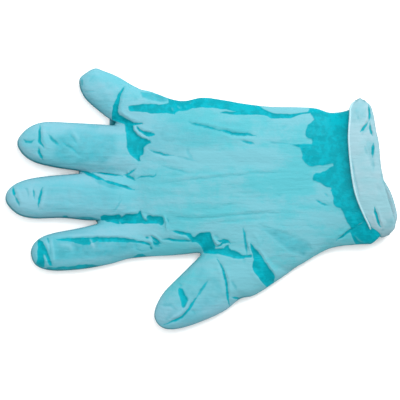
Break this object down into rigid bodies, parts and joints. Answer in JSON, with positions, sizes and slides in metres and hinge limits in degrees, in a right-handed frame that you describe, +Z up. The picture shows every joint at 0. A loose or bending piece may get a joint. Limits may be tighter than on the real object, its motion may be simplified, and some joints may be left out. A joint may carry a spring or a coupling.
{
  "type": "nitrile exam glove",
  "caption": "Thin blue-green nitrile exam glove lying flat, slightly puffed and creased, open at the wrist, with its beaded cuff turned back.",
  "frame": {"origin": "middle of the glove's footprint, on the surface that it lies on", "axes": "+X from the fingers towards the mouth, +Y towards the little finger, +Z up from the surface"},
  "size_m": [0.2352, 0.1566, 0.0228],
  "materials": {
    "nitrile_film": "thin dipped nitrile film, satin, blue-green, paler on the inside that shows on the turned cuff"
  },
  "bodies": {
    "root": {"glove_film": "nitrile_film"}
  },
  "joints": []
}
